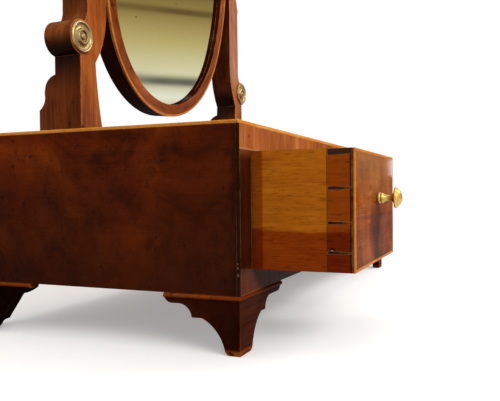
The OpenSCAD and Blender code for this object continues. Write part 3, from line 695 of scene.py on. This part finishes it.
# Mirror glass.
# Thin old plate, silvered behind and slightly grey, with a few specks of foxing and a dim rim where damp has
# crept in behind the frame. It lies in the frame's rebate, held by small blocks.
glass_low, glass_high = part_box("mirror_glass")
plate, tree, shell, here = new_material("silvered_plate")
foxing = fade(tree, noise(tree, here, (240, 240, 240), 3, 0.6), 0.7, 0.78)
silver = blend_colours(tree, foxing, srgb(226, 226, 218), srgb(110, 100, 80))
parts = axes(tree, here)
across = maths(tree, "DIVIDE", parts["X"], (glass_high.x - glass_low.x) / 2)
above_pivot = maths(tree, "SUBTRACT", parts["Z"], pivot_z)
upward = maths(tree, "DIVIDE", above_pivot, (glass_high.z - glass_low.z) / 2)
outward = maths(tree, "ADD", maths(tree, "POWER", across, 2.0), maths(tree, "POWER", upward, 2.0))
ragged = times(tree, noise(tree, here, (90, 90, 90), 4, 0.65), 0.1)
rim = fade(tree, maths(tree, "ADD", outward, ragged), 0.93, 1.06, 0.0, 0.55)
link(tree, blend_colours(tree, rim, silver, srgb(132, 122, 100)), shell.inputs["Base Color"])
shell.inputs["Metallic"].default_value = 1.0
link(tree, fade(tree, noise(tree, here, (9, 9, 9), 2), 0.3, 0.7, 0.035, 0.075), shell.inputs["Roughness"])
dress(plate, "mirror_glass")


# Drawers.
# Three small drawers with lapped dovetails: mahogany-faced fronts, honey-coloured linings with a straight
# fine grain, a thin bottom slid in from the back, and a brass knob held by a nut behind the front.
front_thick = 0.017
lap_thick = 0.003
opening_shade_from = 0.0575
brown_z = 0.075
tear = (-0.2083, -0.1168, 0.0631)


def facing_sideways(tree):
    return facing(tree, "X", 0.5, 0.8)


# The face is painted paler above and deeper below, a painted reflection of the bright room in the polish,
# and has a dark flame below the knob. The ends of the front and its dovetail pins are nearly black.
def flamed(centre):
    def stain(tree, here, colour):
        parts = axes(tree, here)
        ragged = wander(tree, noise(tree, here, (45, 10, 25), 4, 0.6), 0.05)
        aside = maths(tree, "ADD", maths(tree, "SUBTRACT", parts["X"], centre), ragged)
        off = maths(tree, "ABSOLUTE", aside)
        flame = times(tree, fade(tree, off, 0.024, 0.004), fade(tree, parts["Z"], 0.094, 0.07))
        # Painted reflection: paler towards the top, deeper towards the bottom.
        sheen_above = blend_colours(tree, 0.4, colour, srgb(206, 152, 100))
        uneven = maths(tree, "ADD", parts["Z"], ragged)
        colour = blend_colours(tree, fade(tree, uneven, 0.082, 0.126), colour, sheen_above)
        less_sheen_below = tinted(tree, colour, (0.76, 0.58, 0.4))
        colour = blend_colours(tree, fade(tree, uneven, 0.11, 0.05), colour, less_sheen_below)
        colour = blend_colours(tree, times(tree, flame, 0.85), colour, srgb(52, 24, 10))
        return blend_colours(tree, times(tree, facing_sideways(tree), 0.9), colour, srgb(38, 13, 5))
    return stain


# A drawer's lining is darker at the dovetails and along its lower edge. Painted shade darkens it from just
# outside the box's front inwards, and at the end of the lap.
# A scribed line ends the dovetails. The left drawer has a torn spot at its lowest pin.
def lining_tones(front, torn):
    def stain(tree, here, colour):
        parts = axes(tree, here)
        depth = maths(tree, "SUBTRACT", parts["Y"], front)
        dashes = fade(tree, noise(tree, here, (620, 120, 620), 3, 0.6), 0.56, 0.72, 0.0, 0.55)
        colour = blend_colours(tree, dashes, colour, srgb(104, 48, 8))
        dovetailed = fade(tree, depth, front_thick + 0.0002, front_thick - 0.0006)
        colour = blend_colours(tree, dovetailed, colour, tinted(tree, colour, (0.62, 0.42, 0.5)))
        ragged = wander(tree, noise(tree, here, (60, 25, 240), 3, 0.6), 0.008)
        uneven = maths(tree, "ADD", parts["Z"], ragged)
        low = fade(tree, uneven, brown_z + 0.0015, brown_z - 0.0015)
        colour = blend_colours(tree, low, colour, tinted(tree, colour, (0.58, 0.32, 0.36)))
        # Painted shade: the box's front shades the side from here inwards.
        opening_shade = fade(tree, depth, opening_shade_from, opening_shade_from + 0.0015)
        colour = blend_colours(tree, opening_shade, colour, tinted(tree, colour, (0.6, 0.5, 0.6)))
        from_scribe = maths(tree, "ABSOLUTE", maths(tree, "SUBTRACT", depth, front_thick + 0.0001))
        scribed = fade(tree, from_scribe, 0.0005, 0.0001, 0.0, 0.75)
        colour = blend_colours(tree, scribed, colour, srgb(58, 26, 8))
        # Painted shade: a dark line where the side's end meets the lap.
        lap_shade = fade(tree, depth, lap_thick + 0.0006, lap_thick, 0.0, 0.85)
        colour = blend_colours(tree, lap_shade, colour, srgb(30, 12, 4))
        if torn:
            hole = spot(tree, here, tear, 0.0014, 0.0023)
            colour = blend_colours(tree, hole, colour, srgb(34, 15, 6))
            fresh_wood = spot(tree, here, tear, 0.0005, 0.0008)
            colour = blend_colours(tree, fresh_wood, colour, srgb(204, 170, 128))
        return colour
    return stain


# The line round the front is light on its face and stained dark red where it meets the end of the lap.
def line_stain(front):
    def stain(tree, here, colour):
        depth = maths(tree, "SUBTRACT", axes(tree, here)["Y"], front)
        dark_red = blend_colours(tree, facing_sideways(tree), colour, srgb(104, 38, 12))
        return blend_colours(tree, fade(tree, depth, 0.0009, 0.0012), colour, dark_red)
    return stain


for side in ("left", "middle", "right"):
    front_low, front_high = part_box("drawer_front_" + side)
    centre = (front_low.x + front_high.x) / 2
    front_wood = wood("drawer_front_mahogany_" + side, "X", (70, 24, 6), (152, 74, 26), (202, 118, 54),
                      gloss=0.25, coat=0.13, coat_gloss=0.045, mottle=1.2, bands=0.4, stain=flamed(centre))
    lining = wood("lining_wood_" + side, "Y", (132, 64, 10), (194, 110, 22), (228, 150, 46),
                  gloss=0.42, coat=0.03, mottle=0.4, bands=0.2, fibre=0.45, pores=1.0, wear=0.0,
                  specks=0.12, stain=lining_tones(front_low.y, side == "left"))
    bright_line = wood("drawer_line_" + side, "X", (164, 82, 26), (220, 132, 52), (242, 172, 90),
                       gloss=0.32, coat=0.12, mottle=0.7, bands=0.3, pores=0.1,
                       stain=line_stain(front_low.y))
    dress(front_wood, "drawer_front_" + side)
    dress(bright_line, "drawer_line_" + side)
    dress(lining, "drawer_side_a_" + side, "drawer_side_b_" + side)
    dress(lining, "drawer_back_" + side, "drawer_bottom_" + side)
    dress(knob_brass, "drawer_knob_" + side, "drawer_nut_" + side)
